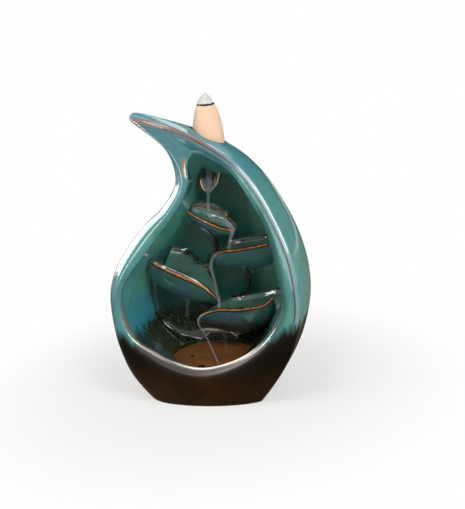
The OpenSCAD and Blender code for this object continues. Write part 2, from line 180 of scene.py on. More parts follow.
class BurnerSizes(bpy.types.PropertyGroup):
    """Sizes of the burner, as its construction has them"""

    height: bpy.props.FloatProperty(
        name="Height", description="Foot to tip of the horn", default=0.142, unit="LENGTH")
    width: bpy.props.FloatProperty(
        name="Width", description="Width the outlines are drawn for", default=0.09, unit="LENGTH")
    front_reach: bpy.props.FloatProperty(
        name="Front reach", description="Rim in front of the middle", default=0.024, unit="LENGTH")
    rim_lean: bpy.props.FloatProperty(
        name="Rim lean", description="How far the rim leans back", default=0.017, unit="LENGTH")
    back_reach: bpy.props.FloatProperty(
        name="Back reach", description="Back behind the middle", default=0.029, unit="LENGTH")
    belly: bpy.props.FloatProperty(
        name="Belly", description="Swell of the side walls", default=0.003, unit="LENGTH")
    keel: bpy.props.FloatProperty(
        name="Keel", description="Outline below the cut foot", default=0.016, unit="LENGTH")
    niche_depth: bpy.props.FloatProperty(
        name="Niche depth", description="Niche wall behind the middle", default=0.024, unit="LENGTH")
    niche_lean: bpy.props.FloatProperty(
        name="Niche lean", description="How far that wall comes forward", default=0.02, unit="LENGTH")
    leaf_wall: bpy.props.FloatProperty(
        name="Leaf wall", description="Thickness of the leaves", default=0.002, unit="LENGTH")
    pad_radius: bpy.props.FloatProperty(
        name="Pad radius", description="Radius of the pads", default=0.0105, unit="LENGTH")
    well_radius: bpy.props.FloatProperty(
        name="Well radius", description="Radius of the bare floor", default=0.0205, unit="LENGTH")
    well_floor: bpy.props.FloatProperty(
        name="Well floor", description="Height of the bare floor", default=0.0195, unit="LENGTH")
    seat_height: bpy.props.FloatProperty(
        name="Seat height", description="Height of the cone's seat", default=SEAT_HEIGHT, unit="LENGTH")
    cone_height: bpy.props.FloatProperty(
        name="Cone height", description="Height of the cone", default=CONE_HEIGHT, unit="LENGTH")
    cone_radius: bpy.props.FloatProperty(
        name="Cone radius", description="Largest radius of the cone", default=0.0075, unit="LENGTH")


class BurnerColours(bpy.types.PropertyGroup):
    """Colours of the glaze, the bare clay and the incense"""

    glaze_thin: bpy.props.FloatVectorProperty(
        name="Thin glaze", description="Glaze on outer walls",
        subtype="COLOR", size=4, default=linear("#4f8d83"))
    glaze_deep: bpy.props.FloatVectorProperty(
        name="Deep glaze", description="Glaze in the niche",
        subtype="COLOR", size=4, default=linear("#4f9382"))
    glaze_blue: bpy.props.FloatVectorProperty(
        name="Blue glaze", description="Where the glaze pools",
        subtype="COLOR", size=4, default=linear("#4c7f8e"))
    glaze_break: bpy.props.FloatVectorProperty(
        name="Breaking glaze", description="Glaze on sharp edges",
        subtype="COLOR", size=4, default=linear("#a8713f"))
    glaze_dark: bpy.props.FloatVectorProperty(
        name="Dark glaze", description="Glaze on the lower body",
        subtype="COLOR", size=4, default=linear("#282420"))
    glaze_foot: bpy.props.FloatVectorProperty(
        name="Foot glaze", description="Glaze close to the foot",
        subtype="COLOR", size=4, default=linear("#4a3520"))
    clay: bpy.props.FloatVectorProperty(
        name="Bare floor", description="Washed clay of the basin floor",
        subtype="COLOR", size=4, default=linear("#7a4c21"))
    incense: bpy.props.FloatVectorProperty(
        name="Incense", description="Pressed powder", subtype="COLOR", size=4, default=linear("#efc6a8"))
    ash: bpy.props.FloatVectorProperty(
        name="Ash", description="Burnt tip", subtype="COLOR", size=4, default=linear("#d2cfcb"))
    floor: bpy.props.FloatVectorProperty(
        name="Floor", description="Floor and backdrop", subtype="COLOR", size=4, default=linear("#f4f4f2"))


# Shape


def spline(a, b, c, d, u):
    """Point at u on the smooth curve from b to c"""
    square, cube = 2 * a - 5 * b + 4 * c - d, 3 * b - a - 3 * c + d
    return 0.5 * (2 * b + (c - a) * u + square * u * u + cube * u ** 3)


def closed_curve(points, steps):
    """Smooth closed curve through points, whose first axis runs along the curve"""
    before, after, beyond = (np.roll(points, k, axis=0) for k in (1, -1, -2))
    parts = [spline(before, points, after, beyond, k / steps) for k in range(steps)]
    return np.stack(parts, axis=1).reshape(-1, *points.shape[1:])


def open_curve(points, steps):
    """Smooth open curve through points, from the first to the last"""
    padded = np.concatenate([points[:1], points, points[-1:]])
    parts = [spline(padded[:-3], padded[1:-2], padded[2:-1], padded[3:], k / steps) for k in range(steps)]
    return np.concatenate([np.stack(parts, axis=1).reshape(-1, *points.shape[1:]), points[-1:]])


def mix(a, b, t):
    """From a at 0 to b at 1"""
    return a + (b - a) * t


def ease(low, high, x):
    """0 below low, 1 above high, smooth between them"""
    t = np.clip((x - low) / (high - low), 0, 1)
    return t * t * (3 - 2 * t)


def rim_y(size, z):
    """Depth of the rim at a height: it leans back towards the horn"""
    return -size.front_reach + size.rim_lean * (np.maximum(z, 0) / size.height) ** 2


def niche_y(size, z):
    """Depth of the niche wall at a height: it comes forward towards its roof"""
    return size.niche_depth - size.niche_lean * (np.maximum(z, 0) / (0.84 * size.height)) ** 1.6


def outline(size, points, y):
    """Outline points in space, with y as a function of their height"""
    p = np.array(points) / 100 * (size.width, size.height)
    return np.stack([p[:, 0], y(p[:, 1]), p[:, 1]], axis=1)


def in_niche(size, p):
    """A point given in percent across, out of the niche wall and up"""
    z = p[2] / 100 * size.height
    return np.array([p[0] / 100 * size.width, niche_y(size, z) - p[1] / 100 * size.niche_depth, z])


def at_depth(p, y):
    """The same points at another depth"""
    return np.stack([p[:, 0], np.broadcast_to(y, p[:, 0].shape), p[:, 2]], axis=1)


def body_rings(size):
    """Rings of the body's skin, from the pole of the back round the rim to the pole of the niche"""
    # heights: below low the rim falls back, at full the back is fullest, and the sill ends at sill_top
    low, full, sill_top = 0.35 * size.height, 0.32 * size.height, 0.14 * size.height
    span, back_span = low + size.keel, 0.56 * size.height
    # depths: the rim's foot and the niche edge behind the rim, the niche wall's foot before that wall, and
    # how far the back's outline lies before the back's middle
    foot_back, edge_back, pocket_out = 0.022, 0.0015, 0.0006
    back_step, back_fall, back_bulge = 0.003, 0.010, 0.0008
    # how far the rim rolls back everywhere and further at the left, and stands wider there
    roll, left_roll, left_wider, left_taper = 0.0008, 0.0042, 0.0012, 0.008
    # crowns between rim and niche edge, close to that edge and on the sill, and roundings of edge and lip
    crown, low_crown, sill_lip, edge_round, lip_round = 0.0005, 0.0002, 0.006, 0.0006, 0.0012
    horn_rise = 0.004
    rim = outline(size, RIM, lambda z: rim_y(size, z) + foot_back * (np.maximum(0, low - z) / span) ** 2)
    edge = outline(size, EDGE, lambda z: rim_y(size, z) + edge_back)
    pocket = outline(size, POCKET, lambda z: niche_y(size, z) - pocket_out)
    deep = size.back_reach - back_step
    back = outline(size, BACK, lambda z: deep - back_fall * ((z - full) / back_span) ** 2)
    # from 0 to 1: how much a point belongs to the horn, to the sill and to the basin or roof
    index = np.arange(len(RIM))
    horn = np.maximum(0, 1 - np.minimum(index, len(RIM) - index) / 2.5)[:, None]
    sill = np.clip((sill_top - rim[:, 2:]) / (sill_top + size.keel), 0, 1)
    edge_z = edge[:, 2:] / size.height
    floor = np.clip(np.maximum((0.28 - edge_z) / 0.11, (edge_z - 0.8) / 0.06), 0, 1)
    tangent = np.roll(rim, -1, axis=0) - np.roll(rim, 1, axis=0)
    tangent[:, 1] = 0
    tangent /= np.linalg.norm(tangent, axis=1, keepdims=True)
    normal = np.stack([-tangent[:, 2], 0 * tangent[:, 0], tangent[:, 0]], axis=1)
    nx, nz = normal[:, :1], normal[:, 2:]
    leftward, backward = np.maximum(0, -nx), np.array([0, 1, 0])
    # the rim rolls back, most of all at the left
    rolled = backward * (roll + left_roll * leftward) * (1 - horn)
    # the left side stands a little wider than the solids, but not where it is widest
    inward = np.clip((rim[:, :1] - rim[:, 0].min()) / left_taper, 0, 1)
    wider = np.array([-1, 0, 0]) * left_wider * leftward * (1 - horn) * inward
    swell = size.belly * (0.5 + 0.9 * nx - 0.4 * np.maximum(0, nz) - 2 * np.maximum(0, -nx * nz))

    def side(out, along_horn, y_main, y_horn):
        """Ring of the side wall: its share of the swell, and of the way back on the horn and elsewhere"""
        p = mix(rim + out * swell * (1 - horn) * normal, back, along_horn * horn)
        p = p + np.array([0, 0, horn_rise]) * out * horn + wider
        return at_depth(p, mix(rim[:, 1:2], back[:, 1:2], mix(y_main, y_horn, horn))[:, 0])

    def front(t, rise):
        """Ring between the rim and the niche edge, crowned forward"""
        forward = rise * (1 - sill) + 4 * t * (1 - t) * sill_lip * sill
        return mix(rim + wider, edge, t) - forward * backward + rolled * max(0, 1 - t / 0.6) ** 2

    def wall(t, t_floor, d, d_floor):
        """Ring between the niche edge and the niche wall's foot: its shares of the way across and back"""
        p = mix(edge, pocket, mix(t, t_floor, floor))
        return at_depth(p, mix(edge[:, 1:2], pocket[:, 1:2], mix(d, d_floor, floor))[:, 0])

    def on_niche(p):
        """The same points on the niche wall"""
        return at_depth(p, niche_y(size, p[:, 2]))

    same = np.ones((len(RIM), 1))
    back_pole = same * np.array([0.04 * size.width, size.back_reach, 0.4 * size.height])
    pole_z = 0.43 * size.height
    niche_pole = same * np.array([0.05 * size.width, niche_y(size, pole_z), pole_z])
    rear = side(0.6, 0.5, 0.8, 0.5)
    rear = mix(rear, at_depth(back, rear[:, 1]), 0.2 * (1 - horn))
    # the sill's lip and the corner at the back of the basin are rounder than the other edges
    soft = edge_round + lip_round * np.clip((0.42 - edge_z) / 0.15, 0, 1)
    wall_foot, niche_foot = wall(0.85, 0.97, 0.85, 0.82), on_niche(mix(pocket, niche_pole, 0.35))
    corner = mix(pocket, (wall_foot + niche_foot) / 2, 0.5 * np.clip((0.26 - edge_z) / 0.06, 0, 1))
    return np.stack([
        back_pole,
        at_depth(mix(back_pole, back, 0.55), size.back_reach - back_bulge),
        back,
        rear,
        side(1, 0.12, 0.45, 0.15),
        side(0.5, 0, 0.08, 0.04) + rolled,
        rim + wider + rolled,
        front(0.22, crown),
        front(0.6, crown),
        front(0.88, low_crown),
        edge + soft * backward,
        wall(0.03, 0.2, 0.09, 0.07),
        wall(0.45, 0.8, 0.5, 0.35),
        wall_foot,
        corner,
        niche_foot,
        on_niche(mix(pocket, niche_pole, 0.7)),
        niche_pole])


def band(here, above, count):
    """Faces between two rings of points that start at these numbers"""
    pairs = [(j, (j + 1) % count) for j in range(count)]
    return [(here + b, here + a, above + a, above + b) for a, b in pairs]


def skin(rings):
    """Vertices and faces of a closed skin through rings; its first and last ring are single points"""
    rows = open_curve(np.stack([closed_curve(r, ALONG) for r in rings]), ACROSS)
    n, last = rows.shape[1], rows.shape[0] - 1
    points = np.concatenate([rows[0, :1], rows[1:last].reshape(-1, 3), rows[last, :1]])
    pairs = [(j, (j + 1) % n) for j in range(n)]
    faces = [(0, 1 + a, 1 + b) for a, b in pairs]
    for row in range(last - 2):
        faces += band(1 + row * n, 1 + (row + 1) * n, n)
    base = 1 + (last - 2) * n
    return points, faces + [(base + b, base + a, len(points) - 1) for a, b in pairs]


def leaf_curves(size, stations):
    """Front lip, rear lip and keel of a curled leaf as smooth curves"""
    return [open_curve(np.array([in_niche(size, st[c]) for st in stations]), ALONG) for c in range(3)]


def leaf_lines(size):
    """The three curves of each leaf, and of the spout as the last"""
    return [leaf_curves(size, stations) for stations in LEAVES.values()]


def leaf(size, stations, arc=24):
    """Vertices and faces of a curled sheet: down the outside from lip to lip, and back up the inside"""
    front, rear, keel = leaf_curves(size, stations)
    middle = (front + rear) / 2
    turn = np.linspace(0, math.pi, arc + 1)[None, :, None]

    def half(thin):
        """Half ellipses from the front lip round the keel to the rear lip, drawn in by a thickness"""
        wide, deep = front - middle, keel - middle
        a, b = (np.linalg.norm(v, axis=1, keepdims=True) for v in (wide, deep))
        wide = wide * (1 - np.minimum(thin, 0.45 * a) / a)
        deep = deep * (1 - np.minimum(thin, 0.45 * b) / b)
        return middle[:, None] + np.cos(turn) * wide[:, None] + np.sin(turn) * deep[:, None]

    outer, inner = half(0.0), half(size.leaf_wall)[:, ::-1]
    up = (middle - keel) / np.linalg.norm(middle - keel, axis=1, keepdims=True)
    lift = 0.4 * size.leaf_wall * up
    rows = np.concatenate([outer, ((outer[:, -1] + inner[:, 0]) / 2 + lift)[:, None], inner,
                           ((inner[:, -1] + outer[:, 0]) / 2 + lift)[:, None]], axis=1)
    count, n = rows.shape[:2]
    faces = []
    for row in range(count - 1):
        faces += band(row * n, (row + 1) * n, n)
    cap = [(q, q + 1, 2 * arc + 1 - q, 2 * arc + 2 - q) for q in range(arc)]
    cap += [(arc, arc + 1, arc + 2), (0, n - 2, n - 1)]
    faces += cap
    faces += [tuple((count - 1) * n + v for v in reversed(c)) for c in cap]
    return rows.reshape(-1, 3), faces


def pad_frame(size, which):
    """Where a pad stands: on the niche wall, square to it, one side raised"""
    x, z, side = which
    place = Vector(in_niche(size, (x, 0, z)))
    h = 0.001
    slope = float(niche_y(size, place.z - h) - niche_y(size, place.z + h)) / (2 * h)
    upright = Matrix.Rotation(math.pi / 2 + math.atan(slope), 4, "X")
    turn = upright @ Matrix.Rotation(math.radians(side), 4, "Z")
    raised = Matrix.Rotation(-math.asin(PAD_TILT / size.pad_radius), 4, "Y")
    return Matrix.Translation(place) @ turn @ raised


def revolve(profile, count):
    """Vertices and faces of a profile of (radius, height) turned round Z; it starts and ends on the axis"""
    angle = np.linspace(0, 2 * math.pi, count, endpoint=False)
    ring = np.stack([np.cos(angle), np.sin(angle)], axis=1)
    inner = [np.column_stack([r * ring, np.full(count, z)]) for r, z in profile[1:-1]]
    points = np.concatenate([[(0, 0, profile[0][1])], *inner, [(0, 0, profile[-1][1])]])
    faces = [(0, 1 + (j + 1) % count, 1 + j) for j in range(count)]
    for k in range(len(inner) - 1):
        a = 1 + k * count
        b = a + count
        faces += [(a + j, a + (j + 1) % count, b + (j + 1) % count, b + j) for j in range(count)]
    a, tip = 1 + (len(inner) - 1) * count, len(points) - 1
    faces += [(a + j, a + (j + 1) % count, tip) for j in range(count)]
    return points, faces


def placed(points, place):
    """Points moved from the origin to a place, which is a matrix"""
    matrix = np.array(place)
    return points @ matrix[:3, :3].T + matrix[:3, 3]


def pad(size, which):
    """Vertices and faces of a pad with a rounded edge and a slight crown, rooted in the niche wall"""
    r, rise, root = size.pad_radius, PAD_RISE, -0.003
    edge = [(r - rise * (1 - math.cos(a)), rise * math.sin(a)) for a in np.radians([0, 22, 45, 67, 90])]
    profile = [(0, root), (r, root), *edge, (0.5 * r, 1.25 * rise), (0, 1.35 * rise)]
    points, faces = revolve(profile, 72)
    return placed(points, pad_frame(size, which)), faces


def pad_arc(size, which):
    """The raised part of a pad's edge"""
    angle = np.radians(np.linspace(-75, 75, 40))
    r = size.pad_radius - 0.0003
    points = np.stack([r * np.cos(angle), r * np.sin(angle), np.full(len(angle), PAD_RISE)], axis=1)
    return placed(points, pad_frame(size, which))


def mesh_object(name, points, faces):
    """A new mesh object of these vertices and faces"""
    mesh = bpy.data.meshes.new(name)
    mesh.from_pydata([tuple(map(float, p)) for p in points], [], faces)
    mesh.validate()
    obj = bpy.data.objects.new(name, mesh)
    bpy.context.scene.collection.objects.link(obj)
    return obj


def joined(parts):
    """Several (vertices, faces) pairs as one"""
    points, faces, base = [], [], 0
    for p, f in parts:
        points.append(np.asarray(p))
        faces += [tuple(base + v for v in face) for face in f]
        base += len(p)
    return np.concatenate(points), faces


def settled(obj):
    """Makes the modifiers' result the object's own mesh"""
    result = bpy.data.meshes.new_from_object(obj.evaluated_get(bpy.context.evaluated_depsgraph_get()))
    result.name = obj.name
    obj.modifiers.clear()
    obj.data = result


def boolean(obj, operation, parts):
    """Adds closed parts to obj, or cuts them out of it; the parts don't overlap one another"""
    tool = mesh_object("tool", *joined(parts))
    modifier = obj.modifiers.new("boolean", "BOOLEAN")
    modifier.operation = operation
    modifier.solver = "MANIFOLD"
    modifier.object = tool
    settled(obj)
    bpy.data.objects.remove(tool)


def coordinates(mesh):
    """The mesh's vertices as an array"""
    co = np.empty(len(mesh.vertices) * 3)
    mesh.vertices.foreach_get("co", co)
    return co.reshape(-1, 3)


def distances(points, part, reach=0.01):
    """Distance of each point to a part's skin, up to reach"""
    tree = BVHTree.FromPolygons([tuple(q) for q in part[0].tolist()], part[1])
    found = (tree.find_nearest(p, reach)[3] for p in points.tolist())
    return np.array([reach if d is None else d for d in found])


def filleted(mesh, parts, low=0.0002, high=0.0019, rounds=14):
    """Smooths the skin where two of its parts meet, as glaze does when it fills a corner"""
    co = coordinates(mesh)
    far = np.sort([distances(co, part) for part in parts], axis=0)[1]
    share = 0.5 * (1 - ease(low, high, far))[:, None]
    edges = np.empty(len(mesh.edges) * 2, int)
    mesh.edges.foreach_get("vertices", edges)
    a, b = edges.reshape(-1, 2).T
    degree = np.bincount(np.concatenate([a, b]), minlength=len(co))[:, None]
    for _ in range(rounds):
        total = np.zeros_like(co)
        np.add.at(total, a, co[b])
        np.add.at(total, b, co[a])
        co = mix(co, total / degree, share)
    mesh.vertices.foreach_set("co", co.ravel())
    mesh.update()


def cylinder(place, radius, low, high, lean=0.0, count=96):
    """Closed cylinder from low to high above place, leaning forward"""
    points, faces = revolve([(0, low), (radius, low), (radius, high), (0, high)], count)
    turn = np.array(Matrix.Rotation(lean, 3, "X"))
    return points @ turn.T + np.array(place), faces


def block(low, high):
    """Closed box between two corners"""
    x, y, z = zip(low, high)
    points = [(x[i], y[j], z[k]) for k in (0, 1) for j in (0, 1) for i in (0, 1)]
    faces = [(0, 2, 3, 1), (4, 5, 7, 6), (0, 1, 5, 4), (2, 6, 7, 3), (0, 4, 6, 2), (1, 3, 7, 5)]
    return np.array(points), faces


def near_curves(points, curves, reach=0.01):
    """Distance of each point to the closest of the curves"""
    dense = [open_curve(c, 8) for c in curves]
    tree = KDTree(sum(len(c) for c in dense))
    for k, p in enumerate(np.concatenate(dense).tolist()):
        tree.insert(p, k)
    tree.balance()
    return np.array([min(reach, tree.find(p)[2]) for p in points.tolist()])


def store(mesh, name, values, domain="POINT"):
    """Stores numbers on the mesh, for a material to read"""
    attribute = mesh.attributes.new(name, "FLOAT", domain)
    attribute.data.foreach_set("value", np.asarray(values, np.float32))


def direction(azimuth, elevation):
    """Unit vector towards an azimuth, from the front to the right, and an elevation, both in degrees"""
    azimuth, elevation = math.radians(azimuth), math.radians(elevation)
    level = math.cos(elevation)
    return Vector((math.sin(azimuth) * level, -math.cos(azimuth) * level, math.sin(elevation)))


def facing(target, azimuth, elevation, away):
    """Where a lamp or card stands that faces target, at an azimuth and elevation and a distance from it"""
    toward = direction(azimuth, elevation)
    return Matrix.Translation(target + toward * away) @ toward.to_track_quat("Z", "Y").to_matrix().to_4x4()


# Materials


def add(tree, kind, links=None, **settings):
    """Adds a node with its settings; links maps an input to a value or to another node's output"""
    node = tree.nodes.new(kind)
    for key, value in settings.items():
        setattr(node, key, value)
    for key, value in (links or {}).items():
        if isinstance(value, bpy.types.NodeSocket):
            tree.links.new(value, node.inputs[key])
        else:
            node.inputs[key].default_value = value
    return node


def combined(tree, operation, *values, clamp=False):
    """Values put together one after another by a maths operation

    A value is a number, a socket, or a smooth step (socket, low, high, start, end), which is start up to low
    and end from high on; start and end are 0 and 1 where they are left out.
    """
    result = None
    for value in values:
        if isinstance(value, tuple):
            step = add(tree, "ShaderNodeMapRange", dict(enumerate(value)), interpolation_type="SMOOTHSTEP")
            value = step.outputs[0]
        if result is not None:
            terms = {0: result, 1: value}
            value = add(tree, "ShaderNodeMath", terms, operation=operation, use_clamp=clamp).outputs[0]
        result = value
    return result


def layered(tree, colour, *coats):
    """Lays coats over a colour, one after another

    A coat is its own colour and then its masks, values as above, whose product is its strength. A colour is a
    hex code, a property or a socket.
    """
    colour = linear(colour) if isinstance(colour, str) else colour
    for over, *masks in coats:
        over = linear(over) if isinstance(over, str) else over
        links = {0: combined(tree, "MULTIPLY", *masks), 6: colour, 7: over}
        colour = add(tree, "ShaderNodeMix", links, data_type="RGBA").outputs[2]
    return colour


def new_material(name):
    """A material with an empty tree and its output node"""
    material = bpy.data.materials.new(name)
    material.use_nodes = True
    material.node_tree.nodes.clear()
    return material, material.node_tree, add(material.node_tree, "ShaderNodeOutputMaterial")


def readings(tree, blotches, marks=()):
    """What a colour can depend on: the place, blotches, and marks stored on the mesh

    A blotch has its width in millimetres, its detail, its roughness, and its width as a share of its height.
    """
    where = add(tree, "ShaderNodeTexCoord").outputs["Object"]
    place = add(tree, "ShaderNodeSeparateXYZ", {0: where})
    found = {"across": place.outputs["X"], "height": place.outputs["Z"]}
    for name, (wide, detail, rough, share) in blotches.items():
        pattern = where
        if share != 1:
            pattern = add(tree, "ShaderNodeMapping", {"Vector": where, "Scale": (1, 1, share)}).outputs[0]
        links = {"Vector": pattern, "Scale": 1000 / wide, "Detail": detail, "Roughness": rough}
        found[name] = add(tree, "ShaderNodeTexNoise", links).outputs["Fac"]
    for name in marks:
        found[name] = add(tree, "ShaderNodeAttribute", attribute_name=name).outputs["Fac"]
    return SimpleNamespace(**found)


def solid_surface(tree, output, relief, links):
    """Ends the tree of a solid material; relief is a height, its strength and its distance in metres"""
    bump = add(tree, "ShaderNodeBump", dict(zip(("Height", "Strength", "Distance"), relief)))
    shader = add(tree, "ShaderNodeBsdfPrincipled", {"Normal": bump.outputs[0], **links})
    tree.links.new(shader.outputs[0], output.inputs[0])


def wall_glaze(tree, at, colours):
    """Teal, blue where it lies thick, with paler and darker runs"""
    return layered(
        tree, colours.glaze_thin,
        (colours.glaze_blue, (at.pools, 0.40, 0.66, 0.0, 0.6)),
        ("#6aa699", (at.runs, 0.42, 0.72, 0.0, 0.25)),
        ("#2b625f", (at.runs, 0.55, 0.35, 0.0, 0.25)),
        # paler on the flanks, darker up the horn, bluer at the shoulder and at the lower left
        ("#6ea39c", at.flank, 0.6),
        ("#2c5c66", (at.height, 0.108, 0.122, 0.0, 0.5), (at.flank, 0.0, 1.0, 1.0, 0.0)),
        ("#3a8496", (at.height, 0.092, 0.122, 0.0, 0.5), at.flank),
        ("#3c6a96", (at.height, 0.052, 0.038, 0.0, 0.5), (at.across, -0.030, -0.038)))


def niche_glaze(tree, at, colours):
    """Green where it pools in the niche, slate blue on the leaves; the back wall darker, partly thick glaze
    and partly painted shade, with painted light on its right part and on the upward faces of the leaves'
    insides
    """
    hollow = layered(
        tree, colours.glaze_deep,
        ("#5a949c", (at.pools, 0.45, 0.7)),
        ("#33889a", (at.height, 0.060, 0.046, 0.0, 0.8), (at.across, -0.010, -0.022)))
    # the back wall: darker, partly thick glaze and partly painted shade, with painted light on its right part
    back = layered(
        tree, "#235045",
        ("#28544e", (at.pools, 0.40, 0.65)),
        ("#63998a", (at.across, 0.022, 0.034, 0.0, 0.8)))
    # the leaves, slate blue where the glaze pools, with painted light on the upward faces of their insides
    curled = layered(
        tree, "#2f564f",
        ("#38505f", (at.pools, 0.38, 0.62)),
        ("#5b8474", at.inside, 0.8))
    return layered(tree, hollow, (back, at.deep), (curled, at.leaf))


def basin_glaze_and_shade(tree, at):
    """Iron glaze round the basin: green specks on near black, the near black partly glaze and partly painted
    shade under the lowest leaf, whose lower part there is dark too
    """
    return layered(tree, "#12150e", ("#3a482b", (at.speck, 0.45, 0.62)), ("#27332d", (at.leaf, 0.0, 0.6)))


def iron_glaze(tree, at, colours):
    """Iron glaze on the lower body: brown at the foot, near black above, greyer near the sill, partly where
    it thins and partly as painted sheen
    """
    return layered(
        tree, colours.glaze_foot,
        (colours.glaze_dark, (at.height, 0.006, 0.030)),
        ("#1c140c", (at.mottle, 0.45, 0.75, 0.0, 0.4)),
        ("#6a4526", (at.pools, 0.42, 0.66, 0.0, 0.5), (at.height, 0.026, 0.010), (at.across, 0.025, 0.0)),
        # greyer near the sill: partly thin glaze and partly painted sheen
        ("#4b4847", (at.sheen, 0.05, 0.8, 0.0, 0.7)))


def dip(tree, at):
    """1 where the body was dipped in iron glaze: outside, below a wavy line that is higher on the right"""
    line = combined(tree, "ADD", combined(tree, "MULTIPLY", at.runs, 0.016),
                    combined(tree, "MULTIPLY", at.pools, 0.008), (at.across, 0.038, 0.052, 0.0, 0.006))
    level = combined(tree, "SUBTRACT", at.height, line)
    return combined(tree, "MULTIPLY", (level, 0.022, 0.030, 1.0, 0.0), (at.niche, 0.3, 0.9, 1.0, 0.0))


def edge_coats(tree, at, colours, undipped):
    """Where glaze runs off an edge, and where light is painted along edges: lavender over the crest, partly
    thin glaze and partly painted highlight, with a dark green line inside it along the right niche edge as
    painted shade, a silver line on the sill and up the right niche edge as painted highlight, brown along the
    horn, copper left of the niche and on the neck, a thin dark line along the crest"""
    left = combined(tree, "MULTIPLY", (at.across, -0.026, -0.032), (at.height, 0.060, 0.048),
                    (at.niche_edge, 0.45, 0.9), (at.height, 0.028, 0.036))
    copper = combined(tree, "MAXIMUM", left, combined(tree, "MULTIPLY", at.neck, 0.9))
    line = combined(tree, "MULTIPLY", at.thin_line, undipped)
    return (
        # lavender over the crest, partly thin glaze and partly painted highlight
        ("#a2a6bb", (at.crest, 0.1, 0.9, 0.0, 0.4), undipped),
        # painted shade: a dark green line inside the right niche edge
        ("#1f4238", (at.sheen, 0.25, 0.9, 0.0, 0.75), undipped, (at.across, 0.028, 0.038)),
        # painted highlight: a silver line along the sill and up the right niche edge
        ("#9a9794", (at.sheen, 0.955, 0.995), (at.height, 0.060, 0.052), (at.across, -0.016, -0.004)),
        ("#8c6044", (at.height, 0.120, 0.132), (at.ridge, 0.55, 1.0), (at.runs, 0.25, 0.60, 0.45, 0.8)),
        (colours.glaze_break, copper),
        ("#3a2c28", (line, 0.2, 0.7, 0.0, 0.8)))


def lip_coats(tree, at, colours):
    """Along each lip a dark line, a copper one and a cream core, the core partly glaze breaking thin and
    partly painted highlight
    """
    lip = combined(tree, "MAXIMUM", at.front_lip, combined(tree, "MULTIPLY", at.rear_lip, 0.68),
                   combined(tree, "MULTIPLY", at.pad_edge, 0.58))
    lip = combined(tree, "ADD", lip, (at.mottle, 0.3, 0.7, -0.08, 0.08), clamp=True)
    return (
        ("#1e140c", (lip, 0.10, 0.38, 0.0, 0.95)),
        (colours.glaze_break, (lip, 0.48, 0.64)),
        # the cream core: partly thin glaze and partly painted highlight
        ("#ecd3ae", (lip, 0.74, 0.92, 0.0, 0.9)))


def reactive_glaze(colours):
    """Reactive stoneware glaze, poured and fired glossy: it pools green in hollows, thins to teal on walls
    and breaks to copper brown on edges; the lower body was dipped in an iron glaze with a dark, dull sheen.
    Shade is painted into the niche, the basin and under the roof, light on the leaves' insides, and
    highlights along the crest, the sill and the lips"""
    material, tree, output = new_material("reactive_stoneware_glaze")
    blotches = {"pools": (22, 3, 0.5, 1), "mottle": (3.5, 4, 0.6, 1), "speck": (1.1, 3, 0.65, 1),
                "runs": (4, 3, 0.55, 0.14), "ripples": (8, 2, 0.5, 1)}
    at = readings(tree, blotches, (
        "niche", "deep", "flank", "leaf", "inside", "crest", "thin_line", "sheen", "ridge", "niche_edge",
        "neck", "front_lip", "rear_lip", "pad_edge"))
    dipped = dip(tree, at)
    undipped, off_leaves = (dipped, 0.0, 1.0, 1.0, 0.0), (at.leaf, 0.0, 0.6, 1.0, 0.0)
    ragged_height = combined(tree, "ADD", at.height, combined(tree, "MULTIPLY", at.mottle, 0.012))
    colour = layered(
        tree, wall_glaze(tree, at, colours),
        (niche_glaze(tree, at, colours), (at.niche, 0.05, 0.8)),
        # painted shade under the niche's roof, kept off the leaves
        ("#1d4642", (at.height, 0.094, 0.114, 0.0, 0.85), (at.niche, 0.12, 0.45), off_leaves),
        ("#143028", (at.mottle, 0.5, 0.8, 0.0, 0.3)),
        # the basin's specked glaze, its near black partly painted shade under the lowest leaf
        (basin_glaze_and_shade(tree, at), (ragged_height, 0.040, 0.047, 1.0, 0.0), (at.niche, 0.3, 0.9)),
        (iron_glaze(tree, at, colours), dipped),
        *edge_coats(tree, at, colours, undipped),
        *lip_coats(tree, at, colours))
    satin = combined(tree, "MULTIPLY", (at.niche, 0.4, 1.0, 0.0, 0.10), off_leaves, (at.height, 0.050, 0.066))
    roughness = combined(tree, "ADD", satin, (at.mottle, 0.3, 0.8, 0.0, 0.05), (dipped, 0.0, 1.0, 0.06, 0.30))
    metal = combined(tree, "MULTIPLY", dipped, 0.9)
    solid_surface(tree, output, (at.ripples, 0.12, 0.0008),
                  {"Base Color": colour, "Roughness": roughness, "Metallic": metal, "IOR": 1.5})
    return material


def washed_clay(colours):
    """Unglazed stoneware, wiped with iron wash and fired: brown, dry, with a fine grain, painted near black
    in its holes as painted shade
    """
    material, tree, output = new_material("iron_washed_clay")
    at = readings(tree, {"wash": (8, 4, 0.6, 1), "grain": (0.5, 2, 0.5, 1)}, ("hole",))
    # faces in the holes are painted near black: painted shade
    colour = layered(tree, colours.clay, ("#5d3716", (at.wash, 0.35, 0.7)), ("#0c0603", at.hole))
    relief = (at.grain, 0.15, 0.0002)
    solid_surface(tree, output, relief, {"Base Color": colour, "Roughness": 0.42, "IOR": 1.5})
    return material


